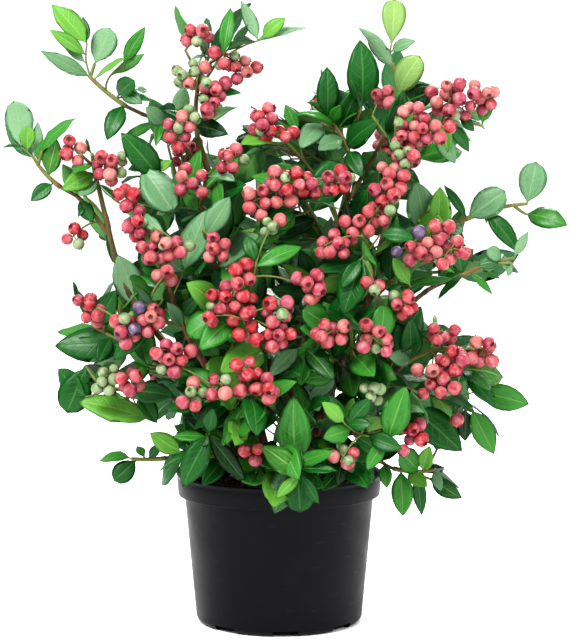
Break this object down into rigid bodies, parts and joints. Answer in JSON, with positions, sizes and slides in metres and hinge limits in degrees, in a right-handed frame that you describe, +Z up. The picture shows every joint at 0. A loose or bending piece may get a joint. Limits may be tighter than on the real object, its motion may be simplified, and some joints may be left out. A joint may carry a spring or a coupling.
{
  "type": "blueberry bush in a pot",
  "caption": "Bushy blueberry plant with arching canes, a loose leafy crown and clusters of pink berries, growing in a round black plastic nursery pot with a deep lip.",
  "frame": {"origin": "centre of the pot's flat underside, on the pot's axis", "axes": "+Z up along the pot's axis, front of the bush towards -Y, +X to the right seen from the front"},
  "size_m": [0.5123, 0.3768, 0.5701],
  "materials": {
    "pot_plastic": "black moulded polypropylene, satin, lightly scuffed",
    "compost": "damp peat and bark compost, matt",
    "bark": "red-brown to grey-brown bark, greener towards the tips",
    "foliage": "glossy mid-green leaves with pale midribs, pink, red and green berries"
  },
  "bodies": {
    "root": {"pot": "pot_plastic", "compost": "compost", "cane_left": "bark", "cane_upper_left": "bark", "cane_centre": "bark", "cane_right": "bark", "cane_front_left": "bark", "cane_low_right": "bark", "cane_front": "bark", "cane_back_left": "bark", "cane_back_right": "bark", "cane_back": "bark", "bough_far_left": "bark", "bough_upper_left": "bark", "bough_right_tip": "bark", "bough_right_mid": "bark", "bough_left_low": "bark", "bough_left_bottom": "bark", "bough_right_bottom": "bark", "bough_tall_right": "bark", "foliage_far_left": "foliage", "foliage_left_top": "foliage", "foliage_upper_left_tip": "foliage", "foliage_crown_fruit": "foliage", "foliage_upper_left_inner": "foliage", "foliage_centre_top": "foliage", "foliage_mid_top": "foliage", "foliage_tall_right": "foliage", "foliage_right_top": "foliage", "foliage_right_upper": "foliage", "foliage_right_tip": "foliage", "foliage_right_mid_tip": "foliage", "foliage_right_mid": "foliage", "foliage_right_low": "foliage", "foliage_right_low_leaves": "foliage", "foliage_right_bottom": "foliage", "foliage_left_mid": "foliage", "foliage_left_low": "foliage", "foliage_left_bottom": "foliage", "foliage_left_arc": "foliage", "foliage_front_left": "foliage", "foliage_centre_left": "foliage", "foliage_centre_upper": "foliage", "foliage_centre_right": "foliage", "foliage_centre_mid": "foliage", "foliage_front_right": "foliage", "foliage_front_low_left": "foliage", "foliage_front_low_mid": "foliage", "foliage_front_low_right": "foliage", "foliage_bottom_left": "foliage", "foliage_middle": "foliage", "foliage_back_top_left": "foliage", "foliage_back_top": "foliage", "foliage_back_top_right": "foliage", "foliage_back_left": "foliage", "foliage_back_mid": "foliage", "foliage_back_right": "foliage", "foliage_back_low_left": "foliage", "foliage_back_low": "foliage", "foliage_back_low_right": "foliage"}
  },
  "joints": []
}
